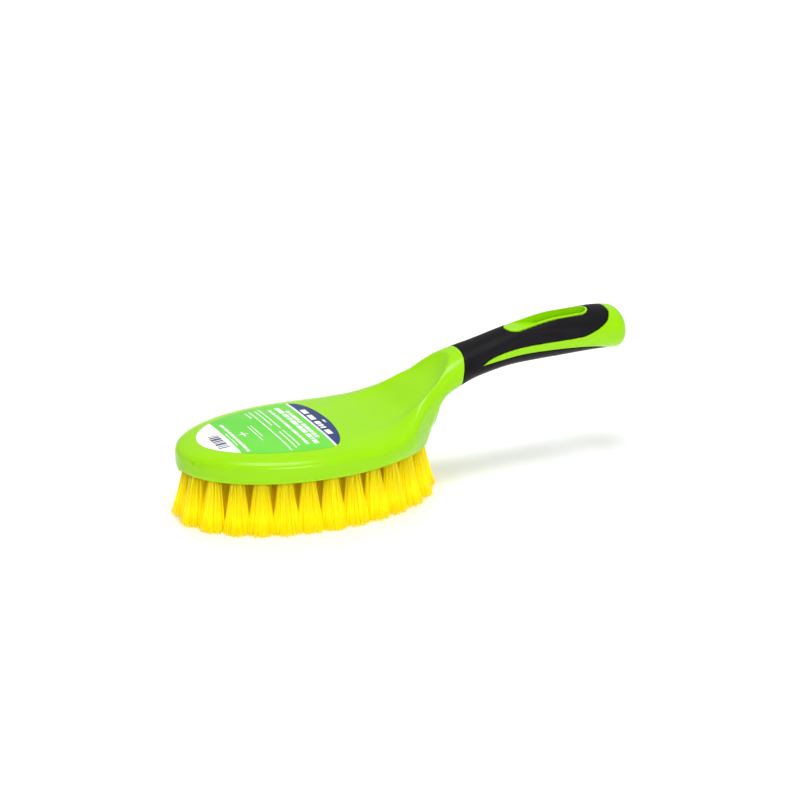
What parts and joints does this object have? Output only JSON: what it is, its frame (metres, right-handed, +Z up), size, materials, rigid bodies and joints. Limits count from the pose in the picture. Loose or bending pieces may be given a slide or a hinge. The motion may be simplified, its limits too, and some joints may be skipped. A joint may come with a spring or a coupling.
{
  "type": "long-handled scrubbing brush",
  "caption": "Hand scrubbing brush: egg-shaped head with flared bristle tufts, a scooped neck and a raised handle with a soft over-moulded grip and a hanging slot.",
  "frame": {"origin": "centre of the bounding box's footprint, on the surface the bristle tips stand on", "axes": "+X from the toe of the head to the tail of the handle, +Z up from the bristle tips, +Y across the brush"},
  "size_m": [0.2844, 0.1022, 0.0923],
  "materials": {
    "body": "moulded lime green polypropylene, satin gloss",
    "grip": "matt black over-moulded thermoplastic rubber",
    "bristle": "bright yellow straight filaments, semi-matt",
    "anchor": "plated flat wire",
    "label": "printed film label, green with navy and white bands"
  },
  "bodies": {
    "root": {"body": "body", "grip": "grip", "label": "label", "tuft_01": "bristle", "tuft_02": "bristle", "tuft_03": "bristle", "tuft_04": "bristle", "tuft_05": "bristle", "tuft_06": "bristle", "tuft_07": "bristle", "tuft_08": "bristle", "tuft_09": "bristle", "tuft_10": "bristle", "tuft_11": "bristle", "tuft_12": "bristle", "tuft_13": "bristle", "tuft_14": "bristle", "tuft_15": "bristle", "tuft_16": "bristle", "tuft_17": "bristle", "tuft_18": "bristle", "tuft_19": "bristle", "tuft_20": "bristle", "tuft_21": "bristle", "tuft_22": "bristle", "tuft_23": "bristle", "tuft_24": "bristle", "tuft_25": "bristle", "tuft_26": "bristle", "tufts_second_row": "bristle", "tufts_third_row": "bristle", "tufts_centre_row": "bristle", "anchor_01": "anchor", "anchor_02": "anchor", "anchor_03": "anchor", "anchor_04": "anchor", "anchor_05": "anchor", "anchor_06": "anchor", "anchor_07": "anchor", "anchor_08": "anchor", "anchor_09": "anchor", "anchor_10": "anchor", "anchor_11": "anchor", "anchor_12": "anchor", "anchor_13": "anchor", "anchor_14": "anchor", "anchor_15": "anchor", "anchor_16": "anchor", "anchor_17": "anchor", "anchor_18": "anchor", "anchor_19": "anchor", "anchor_20": "anchor", "anchor_21": "anchor", "anchor_22": "anchor", "anchor_23": "anchor", "anchor_24": "anchor", "anchor_25": "anchor", "anchor_26": "anchor"}
  },
  "joints": []
}
